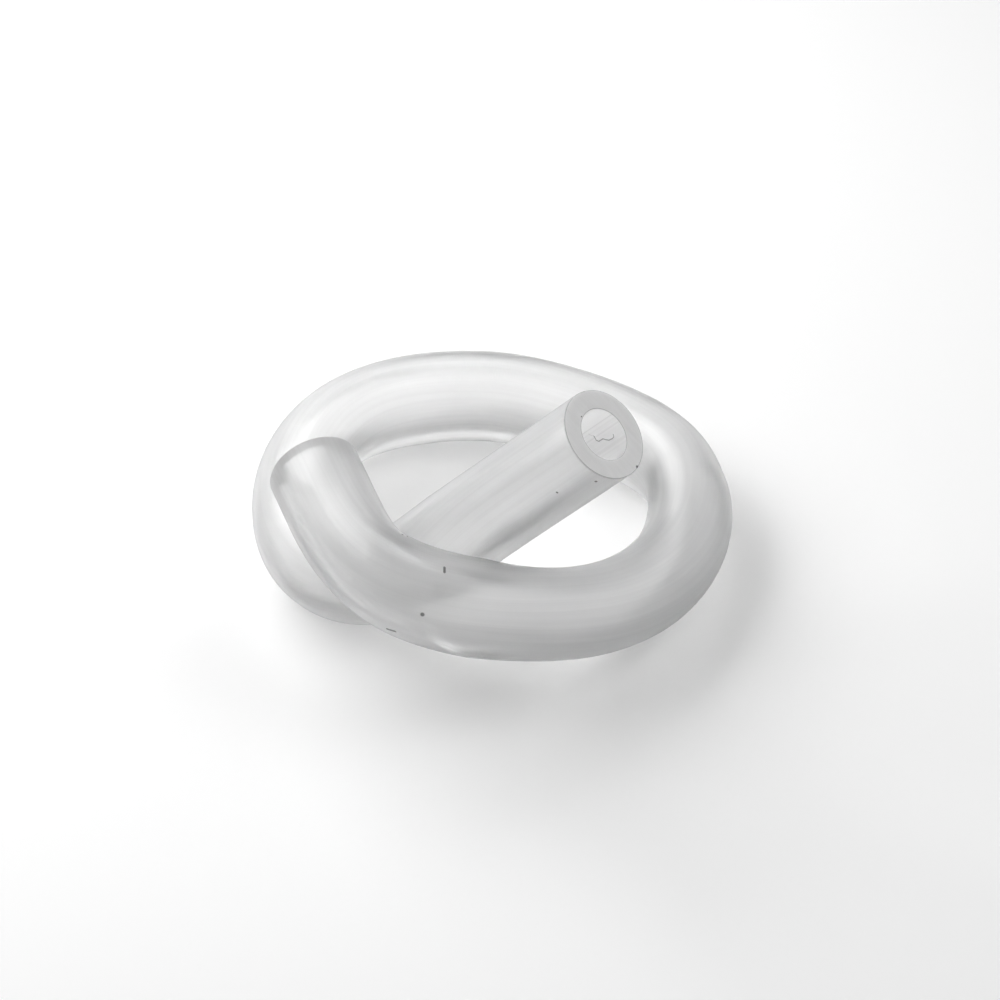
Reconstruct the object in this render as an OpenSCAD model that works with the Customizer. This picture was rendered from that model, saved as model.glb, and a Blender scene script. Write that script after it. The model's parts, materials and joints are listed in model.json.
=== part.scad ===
/*
Short length of soft silicone tubing, cut square at both ends and lying in one loose coil.
From its raised end the tube slopes down inside the coil to the floor, goes once round
clockwise as seen from above, then climbs in front of its own raised stretch and ends
on top of its first turn. The origin is on the floor, under the middle of the coil.
*/

/* [Tube] */
// Outside diameter of the tube
tube_od = 7; // [6:0.25:9]
// Diameter of the bore
tube_bore = 4; // [2:0.25:5]
// How readily a bend squeezes the bore out of round, where 0 keeps every section circular
squeeze = 0.4; // [0:0.05:1]

/* [Coil] */
// Radius of the coil, to the middle of the tube
coil_r = 14; // [12:0.5:20]

/* [Ends] */
// Straight length behind the cut of the raised end
raised_straight = 9; // [4:0.5:20]
// Straight length behind the cut of the end that lies on the first turn
lapped_straight = 3; // [2:0.5:8]

/* [Smoothness] */
// Flat sides round the tube where it bends
sides = 24; // [16:2:28]
// Rings from one station of the route to the next
rings = 5; // [3:1:6]

/* [Hidden] */
tube_r = tube_od / 2;
bore_r = tube_bore / 2;
wall = tube_r - bore_r;
// Step by which the bent stretch lies inside the wall of the straight ends that it runs into
skin = 0.03;
// Depth by which the bent stretch runs into each straight end
splice = 0.5;
// Share of a squeeze that comes back as extra height across the bend
bulge = 0.7;
// Facets of the two turned ends
$fn = 64;

// The route of the tube's middle, one station every station_turn degrees, clockwise from
// first_station: [how far outside coil_r, height above the floor], both in tube diameters,
// so that strands that cross stay a tube apart at any diameter.
first_station = 285;
station_turn = 25;
stations = [
    [0.10, 2.60], [-0.40, 1.50], [-0.05, 0.70],  // down the slope of the raised end
    [0.10, 0.45], [0.15, 0.55],                  // onto the floor at the left
    [0.10, 0.75], [0.10, 0.70], [0.10, 0.55],    // round the back
    [0.10, 0.50], [0.05, 0.50],
    [0.20, 0.50], [0.40, 0.60], [0.35, 0.45],    // round the right side
    [0.30, 0.55], [0.40, 0.85],                  // climbing past the front of the slope
    [0.85, 1.50], [0.85, 1.70], [0.15, 1.85]     // over the first turn
];
last = len(stations) - 1;

function station(i) = let (
    angle = first_station - i * station_turn,
    radius = coil_r + stations[i][0] * tube_od
) [radius * cos(angle), radius * sin(angle), stations[i][1] * tube_od];

// A cubic spline runs past the stations. One more point beyond each end, in line with the
// last two, makes the route start and finish straight, at its first and last station.
control = let (p = [for (i = [0:last]) station(i)])
    concat([2 * p[0] - p[1]], p, [2 * p[last] - p[last - 1]]);

function spline(t, weights) = let (i = min(floor(t), last - 1))
    weights * [for (k = [0:3]) control[i + k]];
function part_of(t) = t - min(floor(t), last - 1);
function place(t) = let (f = part_of(t))
    spline(t, [pow(1 - f, 3), 3 * f * f * f - 6 * f * f + 4,
               -3 * f * f * f + 3 * f * f + 3 * f + 1, f * f * f] / 6);
function speed(t) = let (f = part_of(t))
    spline(t, [-pow(1 - f, 2), 3 * f * f - 4 * f, -3 * f * f + 2 * f + 1, f * f] / 2);
function change(t) = let (f = part_of(t))
    spline(t, [1 - f, 3 * f - 2, 1 - 3 * f, f]);
function unit(v) = v / norm(v);

// The bend at t, as a vector towards its inside: tube diameters over the radius of the bend
function bend(t) = let (v = speed(t), c = change(t), u = unit(v))
    tube_od * (c - (c * u) * u) / (v * v);

// One section across the tube: centre, two directions across it and the bend there
function section(centre, along, b) = let (side = unit(cross(along, [0, 0, 1])))
    [centre, side, cross(side, along), b];
first_run = unit(speed(0));
last_run = unit(speed(last));
sections = concat(
    [section(place(0) - splice * first_run, first_run, [0, 0, 0])],
    [for (k = [0:rings * last]) let (t = k / rings) section(place(t), unit(speed(t)), bend(t))],
    [section(place(last) + splice * last_run, last_run, [0, 0, 0])]
);

// How far a section's outer skin stands from its centre in direction w: less towards the
// inside and outside of the bend, more across it, and never so little that the bore closes
function reach(w, b) = let (b2 = b * b, give = bore_r * squeeze / (1 + squeeze * b2))
    tube_r + give * (bulge * b2 - (1 + bulge) * pow(w * b, 2));
// A ring of corners on a section, inset from its outer skin by some part of the wall
function ring(s, inset) = [
    for (j = [0:sides - 1]) let (a = 360 * j / sides, w = cos(a) * s[1] + sin(a) * s[2])
        s[0] + (reach(w, s[3]) - inset) * w
];
// The bore's corners stand out by this much so that its flats clear the turned bores
bore_corner = (bore_r + skin) / cos(180 / sides) - bore_r;
outer = [for (s = sections) ring(s, skin)];
inner = [for (s = sections) ring(s, wall - bore_corner)];

// The corners of the swept wall are numbered along the outer rings, then along the bore
count = len(sections);
function corner(bore, i, j) = (bore * count + i) * sides + j % sides;
wall_faces = [
    for (bore = [0, 1], i = [0:count - 2], j = [0:sides - 1], half = [0, 1]) let (
        a = corner(bore, i, j), b = corner(bore, i, j + 1),
        c = corner(bore, i + 1, j + 1), d = corner(bore, i + 1, j),
        face = half == 0 ? [a, b, c] : [a, c, d]
    ) bore == 0 ? face : [face[2], face[1], face[0]]
];
end_faces = [
    for (i = [0, count - 1], j = [0:sides - 1]) let (
        a = corner(0, i, j), b = corner(0, i, j + 1),
        c = corner(1, i, j + 1), d = corner(1, i, j)
    ) i == 0 ? [d, c, b, a] : [a, b, c, d]
];

// The two cuts: middle of each, and the way it faces
raised_cut = place(0) - raised_straight * first_run;
lapped_cut = place(last) + lapped_straight * last_run;
// Space that the tube takes, so that the coil is set down on the floor and centred on it
skin_points = [for (r = outer) each r];
function rim(facing, axis) = tube_r * sqrt(1 - pow(facing[axis], 2));
function span(axis) = let (
    all = concat(
        [for (p = skin_points) p[axis]],
        [for (way = [-1, 1]) raised_cut[axis] + way * rim(first_run, axis)],
        [for (way = [-1, 1]) lapped_cut[axis] + way * rim(last_run, axis)]
    )
) [min(all), max(all)];
set_down = [-(span(0)[0] + span(0)[1]) / 2, -(span(1)[0] + span(1)[1]) / 2, -span(2)[0]];

// Straight end of the tube, from a point on the route to its cut
module straight_end(start, facing, length) {
    translate(start)
        rotate([0, acos(facing[2]), atan2(facing[1], facing[0])])
            difference() {
                cylinder(h = length, d = tube_od);
                translate([0, 0, -1]) cylinder(h = length + 2, d = tube_bore);
            }
}

// Wall of the bent stretch, swept along the route
module bent_stretch() {
    polyhedron(concat([for (r = outer) each r], [for (r = inner) each r]),
               concat(wall_faces, end_faces), convexity = 8);
}

module silicone_tube() {
    color([0.93, 0.94, 0.94])
        translate(set_down) {
            bent_stretch();
            straight_end(place(0), -first_run, raised_straight);
            straight_end(place(last), last_run, lapped_straight);
        }
}

silicone_tube();
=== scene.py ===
"""A loose coil of soft, milky silicone tubing, cut square at both ends.

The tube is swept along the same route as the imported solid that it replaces, with the same
squeeze where it bends, but with a smooth skin, a true bore and a softly broken edge at each
cut. Lengths are in metres, angles in degrees.
"""

import json
from math import cos, radians, sin, tau

import bmesh
import bpy
from mathutils import Vector
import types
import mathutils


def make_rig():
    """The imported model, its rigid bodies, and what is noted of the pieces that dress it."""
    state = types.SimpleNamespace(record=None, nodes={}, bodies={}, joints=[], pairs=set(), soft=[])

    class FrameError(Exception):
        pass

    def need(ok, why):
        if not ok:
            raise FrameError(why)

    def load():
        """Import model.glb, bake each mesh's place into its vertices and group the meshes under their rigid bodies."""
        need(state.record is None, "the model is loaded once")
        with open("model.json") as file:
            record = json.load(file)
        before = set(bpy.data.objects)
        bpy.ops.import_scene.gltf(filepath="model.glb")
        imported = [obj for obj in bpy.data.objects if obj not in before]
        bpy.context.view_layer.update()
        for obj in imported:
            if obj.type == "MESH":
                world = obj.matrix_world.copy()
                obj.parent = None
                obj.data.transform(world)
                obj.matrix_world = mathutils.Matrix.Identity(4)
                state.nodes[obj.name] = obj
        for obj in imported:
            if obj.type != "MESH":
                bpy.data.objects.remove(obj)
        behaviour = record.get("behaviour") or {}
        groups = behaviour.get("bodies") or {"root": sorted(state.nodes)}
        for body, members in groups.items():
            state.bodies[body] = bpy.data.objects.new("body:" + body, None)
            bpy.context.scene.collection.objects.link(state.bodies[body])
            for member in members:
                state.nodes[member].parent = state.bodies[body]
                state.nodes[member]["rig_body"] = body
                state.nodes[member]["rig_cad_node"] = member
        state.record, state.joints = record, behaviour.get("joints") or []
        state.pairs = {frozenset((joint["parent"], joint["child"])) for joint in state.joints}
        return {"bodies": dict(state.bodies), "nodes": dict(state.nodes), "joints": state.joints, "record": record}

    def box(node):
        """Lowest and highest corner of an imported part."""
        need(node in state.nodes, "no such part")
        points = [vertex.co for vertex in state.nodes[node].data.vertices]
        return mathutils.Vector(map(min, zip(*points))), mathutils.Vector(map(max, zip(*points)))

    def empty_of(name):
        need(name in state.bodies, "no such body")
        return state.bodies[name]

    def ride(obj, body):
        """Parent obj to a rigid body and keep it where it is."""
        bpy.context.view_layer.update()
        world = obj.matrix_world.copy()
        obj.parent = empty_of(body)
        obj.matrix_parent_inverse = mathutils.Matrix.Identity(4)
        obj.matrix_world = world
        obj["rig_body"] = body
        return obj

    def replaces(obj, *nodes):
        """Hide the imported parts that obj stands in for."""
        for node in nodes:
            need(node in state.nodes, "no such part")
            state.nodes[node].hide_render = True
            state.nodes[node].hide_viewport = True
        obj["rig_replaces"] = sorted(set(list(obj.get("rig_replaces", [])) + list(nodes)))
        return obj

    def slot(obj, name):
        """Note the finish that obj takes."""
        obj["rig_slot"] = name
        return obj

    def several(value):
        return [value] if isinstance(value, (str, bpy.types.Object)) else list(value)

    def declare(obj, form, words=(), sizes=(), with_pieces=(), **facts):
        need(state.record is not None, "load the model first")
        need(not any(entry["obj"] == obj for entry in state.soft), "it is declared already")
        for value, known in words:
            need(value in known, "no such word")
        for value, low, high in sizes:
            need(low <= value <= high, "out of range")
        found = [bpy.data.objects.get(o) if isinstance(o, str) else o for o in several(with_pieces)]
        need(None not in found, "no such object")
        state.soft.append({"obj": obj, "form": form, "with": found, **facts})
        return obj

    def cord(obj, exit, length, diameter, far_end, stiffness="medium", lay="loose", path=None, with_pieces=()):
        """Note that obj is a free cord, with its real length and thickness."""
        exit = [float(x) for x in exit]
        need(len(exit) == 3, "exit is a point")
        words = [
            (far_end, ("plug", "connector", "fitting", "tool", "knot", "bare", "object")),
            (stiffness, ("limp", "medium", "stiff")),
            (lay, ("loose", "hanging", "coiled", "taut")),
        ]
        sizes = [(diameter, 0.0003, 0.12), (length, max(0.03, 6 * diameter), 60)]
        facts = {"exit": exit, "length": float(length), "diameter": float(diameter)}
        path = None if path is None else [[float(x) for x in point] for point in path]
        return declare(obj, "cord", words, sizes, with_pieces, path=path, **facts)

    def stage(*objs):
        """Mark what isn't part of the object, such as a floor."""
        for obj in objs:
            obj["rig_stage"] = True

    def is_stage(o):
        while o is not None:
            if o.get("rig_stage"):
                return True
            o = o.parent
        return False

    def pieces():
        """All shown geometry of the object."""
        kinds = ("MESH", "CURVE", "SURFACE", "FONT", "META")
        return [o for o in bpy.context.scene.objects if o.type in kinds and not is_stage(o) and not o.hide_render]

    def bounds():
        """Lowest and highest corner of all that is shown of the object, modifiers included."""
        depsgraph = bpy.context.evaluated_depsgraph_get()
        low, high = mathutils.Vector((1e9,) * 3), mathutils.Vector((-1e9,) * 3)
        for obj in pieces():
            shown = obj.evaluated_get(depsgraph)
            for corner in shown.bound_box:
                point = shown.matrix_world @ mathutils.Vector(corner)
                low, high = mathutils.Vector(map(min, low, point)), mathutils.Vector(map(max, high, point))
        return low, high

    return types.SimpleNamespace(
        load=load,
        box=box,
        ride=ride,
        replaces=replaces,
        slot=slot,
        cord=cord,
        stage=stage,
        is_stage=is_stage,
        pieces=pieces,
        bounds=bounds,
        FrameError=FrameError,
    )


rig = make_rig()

MM = 0.001

# The tube
TUBE_OD = 7 * MM
TUBE_BORE = 4 * MM
TUBE_WALL = (TUBE_OD - TUBE_BORE) / 2
SQUEEZE = 0.4               # how readily a bend squeezes the bore out of round
BULGE = 0.7                 # share of a squeeze that comes back as height across the bend
SIDES = 72                  # corners round the tube
RINGS = 18                  # rings from one station of the route to the next
EDGE = 0.05 * MM            # width of the broken edge round a cut
SAME_PLACE = 0.001 * MM     # corners closer together than this are one

# The route of the tube's middle, one station every STATION_TURN degrees, clockwise from
# FIRST_STATION: [how far outside COIL_R, height above the floor], in tube diameters
COIL_R = 14 * MM
FIRST_STATION = 285
STATION_TURN = 25
STATIONS = [
    (0.10, 2.60), (-0.40, 1.50), (-0.05, 0.70),  # down the slope of the raised end
    (0.10, 0.45), (0.15, 0.55),                  # onto the floor at the left
    (0.10, 0.75), (0.10, 0.70), (0.10, 0.55),    # round the back
    (0.10, 0.50), (0.05, 0.50),
    (0.20, 0.50), (0.40, 0.60), (0.35, 0.45),    # round the right side
    (0.30, 0.55), (0.40, 0.85),                  # climbing past the front of the slope
    (0.85, 1.50), (0.85, 1.70), (0.15, 1.85),    # over the first turn
]
RAISED_STRAIGHT = 9 * MM
LAPPED_STRAIGHT = 3 * MM
BEHIND_CUT = [back * MM for back in (0, 0.1, 0.2, 0.4, 0.8, 1.5, 2.5, 4, 6)]

# How light fares in each finish: the tone, how clear it is, and how deep light scatters
SKIN_TONE, SKIN_CLEAR, SKIN_DEPTH = 0.97, 0.85, 1.2 * MM
BORE_TONE, BORE_CLEAR, BORE_DEPTH = 0.92, 0.90, 4 * MM
CUT_TONE, CUT_CLEAR, CUT_DEPTH = 0.86, 0.0, 0.25 * MM
SILICONE_IOR = 1.41

# Roughness, from spot to spot: spots to the metre, least, most
SKIN_SATIN = (500.0, 0.28, 0.31)
BORE_SATIN = (600.0, 0.28, 0.31)
CUT_MATT = (900.0, 0.45, 0.60)
NOISE_RANGE = (0.3, 0.7)    # where most of a noise's values lie

# Texture of the tone: spots to the metre, and how far the tone swings from spot to spot
SKIN_LINES = (3000.0, 0.32)
SKIN_CLOUDS = (160.0, 0.06)
BORE_FINE_LINES = (4500.0, 0.20)
CUT_STROKES = (2200.0, 0.16)
# Ripples of the surface: spots to the metre, and how deep they are
SKIN_RIPPLES = (1100.0, 0.004 * MM)
BORE_RIPPLES = (2000.0, 0.008 * MM)
CUT_RIPPLES = (1800.0, 0.006 * MM)
# How slim each of these is: its width for its length, along the tube or across a cut face
DRAW_LINE_SLIM = 0.01
SKIN_RIPPLE_SLIM = 0.03
BORE_RIPPLE_SLIM = 0.02
CUT_STROKE_SLIM = 0.15
CUT_RIPPLE_SLIM = 0.12

# Marks on the skin along the tube, from the raised cut: where each one starts and ends fading
CUT_SHADE_LINE = (0.05 * MM, 0.13 * MM)           # a line of painted shade beside the cut, where its sharp edge looks dark
FRONT_SHADE_FROM = (70 * MM, 95 * MM)           # painted shade on the right and front of the coil fades in
FRONT_SHADE_TO = (115 * MM, 126 * MM)           # and part of it fades out
FRONT_SHADE_LEFT = 0.5                          # the part that stays
# Painted shade: dark lines along the edges of a cut face, where its sharp edges look dark, from the middle of the tube
OUTER_SHADE_LINE = [TUBE_OD / 2 - inside * MM for inside in (0.10, 0.03)]
INNER_SHADE_LINE = [TUBE_BORE / 2 + outside * MM for outside in (0.03, 0.09)]
# The share of the tone that each mark takes
CUT_SHADE_LINE_DARK = 0.35
FRONT_SHADE_DARK = 0.17
OUTER_SHADE_LINE_DARK = 0.45
INNER_SHADE_LINE_DARK = 0.40
SKIN_DUST_DARK = 0.93
CUT_DUST_DARK = 0.8
FIBRE_DARK = 0.8
FIBRE_TAIL_DARK = 0.25
# A mark fades out between these shares of its size
DUST_FADES = (0.55, 1.05)
FIBRE_FADES = (0.5, 1.0)
BORE_LINE_FADES = (0.4, 1.0)

# Dust on the skin and on the raised cut, in millimetres: where each speck lies, and its radius
SKIN_SPECKS = [
    ((7.51, -17.61, 23.21), 0.14), ((4.73, -16.62, 21.35), 0.12),
    ((-5.07, -19.40, 12.07), 0.20), ((-6.57, -14.17, 15.30), 0.11),
    ((-6.20, -14.20, 15.14), 0.10), ((10.55, -15.67, 22.90), 0.15),
]
CUT_SPECKS = [((6.48, -14.29, 26.54), 0.07), ((10.52, -15.64, 22.93), 0.16)]
# Streaks of dust on the skin: both ends, and half the width
SKIN_STREAKS = [
    ((-3.46, -17.10, 14.61), (-3.46, -17.45, 14.47), 0.12),
    ((-7.70, -18.45, 9.83), (-7.10, -18.77, 9.88), 0.13),
]

# Lines along the bore, paler or darker, in degrees round it: [middle, half the width, how much paler]
BORE_LINES = [
    (15.0, 1.6, -0.20), (-2.2, 1.8, 0.07), (-34.5, 1.8, 0.07), (-47.0, 1.8, 0.07),
    (-41.0, 4.0, -0.10), (6.0, 2.0, -0.06), (-6.5, 1.6, -0.12), (60.0, 2.0, -0.12),
    (98.0, 1.6, -0.10), (-82.0, 2.2, -0.10), (-120.0, 1.8, -0.08), (150.0, 2.4, -0.12),
]
BORE_LIT_SIDE = (12, 20)   # painted light: past here the bore's upper, lit side is painted paler, in degrees round it
BORE_LIT_PALER = 0.06
# A fibre on the wall of the bore and its faint tail, point by point on the uncoiled tube, and
# half their width, in millimetres
FIBRE = [(2.00, -0.09, 2.97), (1.95, -0.43, 3.04), (1.91, -0.60, 2.87), (1.90, -0.61, 2.37),
         (1.85, -0.77, 2.15), (1.77, -0.92, 1.87), (1.75, -0.96, 1.44), (1.78, -0.92, 1.26),
         (1.85, -0.76, 1.21)]
FIBRE_TAIL = [(1.98, 0.26, 3.23), (2.00, 0.09, 3.15), (2.00, -0.09, 2.97)]
FIBRE_HALF = 0.055

# The studio. An azimuth of 0 is the camera's side, and 90 is to its right.
CAMERA_AIM = Vector((0.6, 3.0, 4.3)) * MM
CAMERA_ELEVATION = 39.8
CAMERA_DISTANCE = 405 * MM
CAMERA_LENS = 188.5         # in millimetres, as is the width of its sensor
CAMERA_SENSOR = 36
CAMERA_NEAR = 10 * MM       # nothing closer than this is seen
FLOOR_SIZE = 0.6            # half of its side
FLOOR_TONE = 0.92
FLOOR_GLOW = 0.08           # seen by the camera, so that the unshaded floor is white
WORLD_LEVEL = 0.21          # of the light from all round
LAMPS = {                   # azimuth, elevation, distance, side, watts
    "key": (-140, 42, 0.15, 0.10, 0.13),
    "side": (-90, 45, 0.30, 0.20, 0.38),
    "fill": (-45, 45, 0.30, 0.20, 0.05),
    "right": (90, 50, 0.30, 0.20, 0.25),
}


# ---------------------------------------------------------------- the route

def station(i):
    """Middle of the tube at one station, before the coil is set down."""
    angle = radians(FIRST_STATION - i * STATION_TURN)
    outside, height = STATIONS[i]
    radius = COIL_R + outside * TUBE_OD
    return Vector((radius * cos(angle), radius * sin(angle), height * TUBE_OD))


LAST = len(STATIONS) - 1


def control_points():
    """The stations, and one point beyond each end that keeps the route straight there."""
    points = [station(i) for i in range(LAST + 1)]
    return [2 * points[0] - points[1], *points, 2 * points[-1] - points[-2]]


CONTROL = control_points()


def spline(t, weights):
    """Weighted sum of the four control points around station t, for a part f of a step."""
    i = min(int(t), LAST - 1)
    f = t - i
    return sum((w * p for w, p in zip(weights(f), CONTROL[i:i + 4])), Vector())


def place(t):
    """Middle of the tube at station t of a cubic B-spline."""
    return spline(t, lambda f: ((1 - f) ** 3 / 6, (3 * f ** 3 - 6 * f ** 2 + 4) / 6,
                                (-3 * f ** 3 + 3 * f ** 2 + 3 * f + 1) / 6, f ** 3 / 6))


def speed(t):
    """First derivative of place."""
    return spline(t, lambda f: (-(1 - f) ** 2 / 2, (3 * f ** 2 - 4 * f) / 2,
                                (-3 * f ** 2 + 2 * f + 1) / 2, f ** 2 / 2))


def change(t):
    """Second derivative of place."""
    return spline(t, lambda f: (1 - f, 3 * f - 2, 1 - 3 * f, f))


def bend(t):
    """Bend of the route as a vector to its inside: tube diameters over its radius."""
    v, c = speed(t), change(t)
    u = v.normalized()
    return TUBE_OD * (c - c.dot(u) * u) / v.length_squared


def tube_rings():
    """(middle, direction, bend) of every ring, from the raised cut to the lapped cut.

    The rings stand closer together next to a cut.
    """
    first, last = speed(0).normalized(), speed(LAST).normalized()
    rings = [(place(0) - (RAISED_STRAIGHT - back) * first, first, Vector())
             for back in BEHIND_CUT if back < RAISED_STRAIGHT]
    rings += [(place(k / RINGS), speed(k / RINGS).normalized(), bend(k / RINGS))
              for k in range(RINGS * LAST + 1)]
    rings += [(place(LAST) + (LAPPED_STRAIGHT - back) * last, last, Vector())
              for back in reversed(BEHIND_CUT) if back < LAPPED_STRAIGHT]
    return rings


def reach(direction, bent):
    """How far the outer skin stands from the middle in one direction across the tube."""
    b2 = bent.length_squared
    give = TUBE_BORE / 2 * SQUEEZE / (1 + SQUEEZE * b2)
    return TUBE_OD / 2 + give * (BULGE * b2 - (1 + BULGE) * direction.dot(bent) ** 2)


# ---------------------------------------------------------------- the tube's mesh

SKIN, CUT, BORE = range(3)      # order of the tube's materials


def tube_mesh(rings):
    """The tube as one closed wall: out along its skin, in at the cut, and back along its bore.

    Each corner also keeps its place on the tube as it was before it was coiled.
    """
    mesh = bmesh.new()
    straight = mesh.verts.layers.float_vector.new("straight")
    along_tube = [0.0]
    for (here, *_), (there, *_) in zip(rings, rings[1:]):
        along_tube.append(along_tube[-1] + (there - here).length)
    last = len(rings) - 1
    out = [(k, 0.0) for k in range(last + 1)]
    back = [(k, TUBE_WALL) for k in range(last, -1, -1)]
    rows = out + back + out[:1]
    grid = bmesh.ops.create_grid(mesh, x_segments=SIDES, y_segments=len(rows) - 1)
    row_of = {}
    for n, corner in enumerate(grid["verts"]):
        row_of[corner], j = divmod(n, SIDES + 1)
        k, inset = rows[row_of[corner]]
        middle, along, bent = rings[k]
        side = along.cross(Vector((0, 0, 1))).normalized()
        top = side.cross(along)
        angle = tau * (j % SIDES) / SIDES
        direction = cos(angle) * side + sin(angle) * top
        corner.co = middle + (reach(direction, bent) - inset) * direction
        radius = TUBE_OD / 2 - inset
        corner[straight] = Vector((radius * cos(angle), radius * sin(angle), along_tube[k]))
    for face in mesh.faces:
        row = min(row_of[corner] for corner in face.verts)
        if row in (last, 2 * last + 1):
            face.material_index = CUT
        elif row > last:
            face.material_index = BORE
    bmesh.ops.remove_doubles(mesh, verts=mesh.verts, dist=SAME_PLACE)
    bmesh.ops.recalc_face_normals(mesh, faces=mesh.faces)
    rims = [e for e in mesh.edges if len({f.material_index for f in e.link_faces}) == 2]
    bmesh.ops.bevel(mesh, geom=rims, offset=EDGE, offset_type="OFFSET", segments=2, profile=0.5,
                    affect="EDGES", material=-1)
    for face in mesh.faces:
        face.smooth = face.material_index != CUT
    return mesh


def set_down(mesh):
    """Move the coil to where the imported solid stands, and return the move."""
    low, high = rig.box("silicone_tube")
    move = Vector()
    for axis in range(3):
        places = [v.co[axis] for v in mesh.verts]
        if axis == 2:
            move[axis] = low[axis] - min(places)
        else:
            move[axis] = (low[axis] + high[axis] - min(places) - max(places)) / 2
    bmesh.ops.translate(mesh, verts=mesh.verts, vec=move)
    return move


def make_tube(materials):
    """The tube's object, and the path of its middle."""
    rings = tube_rings()
    mesh = tube_mesh(rings)
    move = set_down(mesh)
    data = bpy.data.meshes.new("silicone_tube_skin")
    mesh.to_mesh(data)
    mesh.free()
    for material in materials:
        data.materials.append(material)
    tube = bpy.data.objects.new("silicone_tube_skin", data)
    bpy.context.scene.collection.objects.link(tube)
    return tube, [tuple(middle + move) for middle, *_ in rings]


# ---------------------------------------------------------------- materials

class Wire:
    """A node's output that takes part in ordinary arithmetic."""

    def __init__(self, nodes, socket):
        self.nodes, self.socket = nodes, socket

    def __add__(self, other):
        return self.nodes.maths("ADD", self, other)

    def __radd__(self, other):
        return self.nodes.maths("ADD", other, self)

    def __sub__(self, other):
        return self.nodes.maths("SUBTRACT", self, other)

    def __rsub__(self, other):
        return self.nodes.maths("SUBTRACT", other, self)

    def __mul__(self, other):
        return self.nodes.maths("MULTIPLY", self, other)

    def __rmul__(self, other):
        return self.nodes.maths("MULTIPLY", other, self)

    def larger(self, other):
        return self.nodes.maths("MAXIMUM", self, other)

    def ramp(self, start, end, low=0.0, high=1.0):
        """Ease from low to high while this value goes from start to end."""
        return self.nodes.add("MapRange", {"interpolation_type": "SMOOTHSTEP"},
                              {"Value": self, "From Min": start, "From Max": end,
                               "To Min": low, "To Max": high})

    def fades(self, size, fading, high=1.0):
        """high within a mark of one size, and 0 beyond it, by the distance off its middle."""
        near, far = (share * size for share in fading)
        return self.ramp(near, far, high, 0.0)

    def marked(self, mark, share):
        """This tone, less a share of it wherever the mark is 1."""
        return self * (1 - share * mark)


class Nodes:
    """A node tree that is written as expressions."""

    def __init__(self, owner):
        owner.use_nodes = True
        self.tree = owner.node_tree
        self.tree.nodes.clear()

    def add(self, kind, settings=None, sockets=None, output=0):
        """One node: its settings first, then the values or links of its sockets."""
        node = self.tree.nodes.new("ShaderNode" + kind)
        for name, value in (settings or {}).items():
            setattr(node, name, value)
        for name, value in (sockets or {}).items():
            if isinstance(value, Wire):
                self.tree.links.new(value.socket, node.inputs[name])
            else:
                node.inputs[name].default_value = value
        return Wire(self, node.outputs[output]) if node.outputs else None

    def maths(self, operation, *values):
        return self.add("Math", {"operation": operation}, dict(enumerate(values)))

    def noise(self, place, scale, detail=2.0, roughness=0.5):
        return self.add("TexNoise", None, {"Vector": place, "Scale": scale, "Detail": detail,
                                           "Roughness": roughness})

    def swing(self, place, texture, **noise):
        """A drift of the tone to both sides of 0."""
        scale, width = texture
        return width * (self.noise(place, scale, **noise) - 0.5)

    def patches(self, place, texture, **noise):
        """A value that drifts between two limits."""
        scale, low, high = texture
        return self.noise(place, scale, **noise).ramp(*NOISE_RANGE, low, high)

    def ripples(self, place, texture):
        """Normal of a surface with shallow ripples."""
        scale, depth = texture
        return self.add("Bump", None, {"Height": self.noise(place, scale), "Distance": depth,
                                       "Strength": 1.0})

    def part(self, place, axis):
        return self.add("SeparateXYZ", None, {0: place}, axis)

    def scaled(self, place, x, y, z):
        return self.add("Mapping", None, {"Vector": place, "Scale": (x, y, z)})

    def distance(self, place, point):
        return self.add("VectorMath", {"operation": "DISTANCE"}, {0: place, 1: point}, "Value")

    def off_line(self, place, start, end):
        """Distance from a straight stroke between two points."""
        start, way = Vector(start), Vector(end) - Vector(start)
        since = self.add("VectorMath", {"operation": "SUBTRACT"}, {0: place, 1: start})
        share = self.add("VectorMath", {"operation": "DOT_PRODUCT"},
                         {0: since, 1: way / way.length_squared}, "Value")
        share = self.add("Clamp", None, {"Value": share})
        reached = self.add("VectorMath", {"operation": "SCALE"}, {0: way, "Scale": share})
        return self.distance(since, reached)

    def looked_at(self):
        """1 for the camera, a reflection or a look through the tube, and 0 for other light."""
        camera, gloss, through = (self.add("LightPath", output=kind) for kind in
                                  ("Is Camera Ray", "Is Glossy Ray", "Is Transmission Ray"))
        return camera.larger(gloss).larger(through)

    def grey(self, level):
        return self.add("CombineColor", None, {"Red": level, "Green": level, "Blue": level})


def silicone(name, level, roughness, bump_of, clear, depth):
    """Milky silicone rubber: light goes part of the way through, and scatters in it.

    level, roughness and bump_of each take the nodes and the place on the uncoiled tube.
    """
    material = bpy.data.materials.new(name)
    nodes = Nodes(material)
    straight = nodes.add("Attribute", {"attribute_name": "straight"}, output="Vector")
    shader = nodes.add("BsdfPrincipled", {"subsurface_method": "RANDOM_WALK"}, {
        "Base Color": nodes.grey(level(nodes, straight)),
        "Roughness": roughness(nodes, straight),
        "IOR": SILICONE_IOR,
        "Transmission Weight": clear,
        "Subsurface Weight": 1.0,
        "Subsurface Radius": (1.0, 1.0, 1.0),
        "Subsurface Scale": depth,
        "Normal": bump_of(nodes, straight),
    })
    nodes.add("OutputMaterial", None, {"Surface": shader})
    return material


def most(values):
    """The largest of several values."""
    first, *others = values
    for value in others:
        first = first.larger(value)
    return first


def dust(nodes, spots, streaks=()):
    """1 on every speck and streak, and 0 between them."""
    here = nodes.add("TexCoord", output="Object")
    off = [(nodes.distance(here, Vector(spot) * MM), size) for spot, size in spots]
    off += [(nodes.off_line(here, Vector(start) * MM, Vector(end) * MM), size)
            for start, end, size in streaks]
    return most(far.fades(size * MM, DUST_FADES) for far, size in off)


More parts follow.
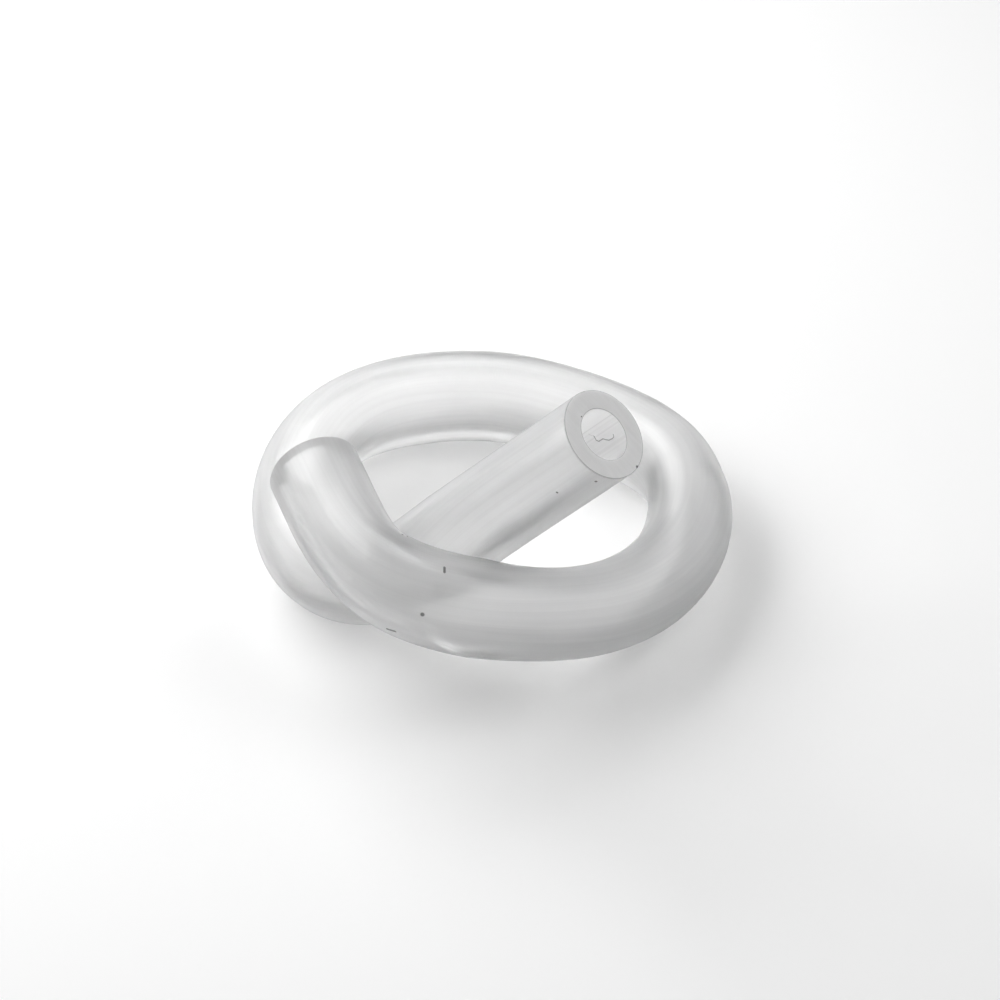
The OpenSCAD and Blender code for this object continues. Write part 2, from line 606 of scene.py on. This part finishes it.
def strand(nodes, place, points):
    """1 along a thin strand from point to point, and 0 beside it."""
    return most(nodes.off_line(place, Vector(start) * MM, Vector(end) * MM)
                .fades(FIBRE_HALF * MM, FIBRE_FADES)
                for start, end in zip(points, points[1:]))


def skin_material():
    """Outer skin: smooth, with draw lines along it, milky clouds in it, a few specks on it, and painted shade beside
    the raised cut and along the right and front of the coil.
    """
    def level(nodes, place):
        lines = nodes.swing(nodes.scaled(place, 1, 1, DRAW_LINE_SLIM), SKIN_LINES, detail=3.0,
                            roughness=0.6)
        clouds = nodes.swing(place, SKIN_CLOUDS, detail=3.0)
        along = nodes.part(place, "Z")
        # painted shade: a dark line on the skin beside the raised cut
        cut_shade_line = along.ramp(*CUT_SHADE_LINE, 1.0, 0.0)
        # painted shade: the right and front of the coil darker, fading to half over the first turn
        front_shade = along.ramp(*FRONT_SHADE_FROM) * along.ramp(*FRONT_SHADE_TO, 1.0, FRONT_SHADE_LEFT)
        return ((SKIN_TONE + lines + clouds)
                .marked(cut_shade_line, CUT_SHADE_LINE_DARK)
                .marked(front_shade, FRONT_SHADE_DARK)
                .marked(dust(nodes, SKIN_SPECKS, SKIN_STREAKS), SKIN_DUST_DARK))

    def roughness(nodes, place):
        return nodes.patches(place, SKIN_SATIN, detail=3.0)

    def bump_of(nodes, place):
        return nodes.ripples(nodes.scaled(place, 1, 1, SKIN_RIPPLE_SLIM), SKIN_RIPPLES)

    return silicone("milky_skin", level, roughness, bump_of, SKIN_CLEAR, SKIN_DEPTH)


def bore_material():
    """Bore: pale, with fine draw lines and set paler or darker lines along it, painted light on its upper side, and a
    curled fibre near the raised cut.
    """
    def level(nodes, place):
        turned = nodes.maths("ARCTAN2", nodes.part(place, "Y"), nodes.part(place, "X"))
        fine = nodes.swing(nodes.scaled(place, 1, 1, DRAW_LINE_SLIM), BORE_FINE_LINES)
        # painted light: the upper, lit side of the bore is painted paler
        lit_side = turned.ramp(*(radians(turn) for turn in BORE_LIT_SIDE))
        tone = BORE_TONE + fine + BORE_LIT_PALER * lit_side
        for middle, half, paler in BORE_LINES:
            off = nodes.maths("ABSOLUTE", turned - radians(middle))
            tone = tone + off.fades(radians(half), BORE_LINE_FADES, high=paler)
        return (tone.marked(strand(nodes, place, FIBRE), FIBRE_DARK)
                .marked(strand(nodes, place, FIBRE_TAIL), FIBRE_TAIL_DARK))

    def roughness(nodes, place):
        return nodes.patches(place, BORE_SATIN)

    def bump_of(nodes, place):
        return nodes.ripples(nodes.scaled(place, 1, 1, BORE_RIPPLE_SLIM), BORE_RIPPLES)

    return silicone("milky_bore", level, roughness, bump_of, BORE_CLEAR, BORE_DEPTH)


def cut_material():
    """Cut face: matt, as a blade leaves it, with a thin line of painted shade along both of its edges."""
    def level(nodes, place):
        strokes = nodes.swing(nodes.scaled(place, 1, CUT_STROKE_SLIM, 1), CUT_STROKES,
                              detail=4.0, roughness=0.6)
        radius = nodes.distance(nodes.scaled(place, 1, 1, 0), (0, 0, 0))
        return ((CUT_TONE + strokes)
                # painted shade: a dark line along the outer and the inner edge of the cut face
                .marked(radius.ramp(*OUTER_SHADE_LINE), OUTER_SHADE_LINE_DARK)
                .marked(radius.ramp(*INNER_SHADE_LINE, 1.0, 0.0), INNER_SHADE_LINE_DARK)
                .marked(dust(nodes, CUT_SPECKS), CUT_DUST_DARK))

    def roughness(nodes, place):
        return nodes.patches(place, CUT_MATT)

    def bump_of(nodes, place):
        return nodes.ripples(nodes.scaled(place, 1, CUT_RIPPLE_SLIM, 1), CUT_RIPPLES)

    return silicone("milky_cut", level, roughness, bump_of, CUT_CLEAR, CUT_DEPTH)


# ---------------------------------------------------------------- stage, light, camera

def make_floor():
    """Pale floor that looks white where nothing shades it."""
    mesh = bmesh.new()
    bmesh.ops.create_grid(mesh, x_segments=1, y_segments=1, size=FLOOR_SIZE)
    data = bpy.data.meshes.new("floor")
    mesh.to_mesh(data)
    mesh.free()
    floor = bpy.data.objects.new("floor", data)
    bpy.context.scene.collection.objects.link(floor)
    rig.stage(floor)

    material = bpy.data.materials.new("floor_paper")
    nodes = Nodes(material)
    paper = nodes.add("BsdfDiffuse", None, {"Color": (FLOOR_TONE, FLOOR_TONE, FLOOR_TONE, 1)})
    glow = nodes.add("Emission", None, {"Color": nodes.grey(FLOOR_GLOW * nodes.looked_at())})
    both = nodes.add("AddShader", None, {0: paper, 1: glow})
    nodes.add("OutputMaterial", None, {"Surface": both})
    data.materials.append(material)


def make_world():
    """White where the camera, a reflection or a look through the tube meets it."""
    world = bpy.data.worlds.new("studio")
    bpy.context.scene.world = world
    nodes = Nodes(world)
    level = nodes.looked_at().ramp(0, 1, WORLD_LEVEL, 1.0)
    light = nodes.add("Background", None, {"Color": nodes.grey(level)})
    nodes.add("OutputWorld", None, {"Surface": light})


def place_towards(thing, aim, azimuth, elevation, distance):
    """Put a lamp or a camera at a distance from a point, facing it."""
    a, e = radians(azimuth), radians(elevation)
    out = Vector((sin(a) * cos(e), -cos(a) * cos(e), sin(e)))
    thing.location = aim + distance * out
    thing.rotation_euler = out.to_track_quat("Z", "Y").to_euler()
    bpy.context.scene.collection.objects.link(thing)


def make_lamps():
    """Square soft lights that face the coil."""
    for name, (azimuth, elevation, distance, side, watts) in LAMPS.items():
        lamp = bpy.data.lights.new(name, "AREA")
        lamp.shape = "SQUARE"
        lamp.size = side
        lamp.energy = watts
        place_towards(bpy.data.objects.new(name, lamp), CAMERA_AIM, azimuth, elevation, distance)


def make_camera():
    lens = bpy.data.cameras.new("camera")
    lens.lens = CAMERA_LENS
    lens.sensor_width = CAMERA_SENSOR
    lens.clip_start = CAMERA_NEAR
    camera = bpy.data.objects.new("camera", lens)
    place_towards(camera, CAMERA_AIM, 0, CAMERA_ELEVATION, CAMERA_DISTANCE)
    bpy.context.scene.camera = camera


# ---------------------------------------------------------------- the scene

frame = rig.load()
cad_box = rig.bounds()

make_camera()
tube, path = make_tube([skin_material(), cut_material(), bore_material()])
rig.ride(tube, "root")
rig.replaces(tube, "silicone_tube")
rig.slot(tube, "silicone")
length = sum((Vector(b) - Vector(a)).length for a, b in zip(path, path[1:]))
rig.cord(tube, exit=path[0], length=length, diameter=TUBE_OD, far_end="bare",
        stiffness="medium", lay="coiled", path=path)

make_floor()
make_world()
make_lamps()
bpy.context.scene.view_settings.view_transform = "Standard"

sizes = {"cad": [list(c) for c in cad_box], "visual": [list(c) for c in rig.bounds()]}
with open("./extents.json", "w") as out:
    json.dump(sizes, out)
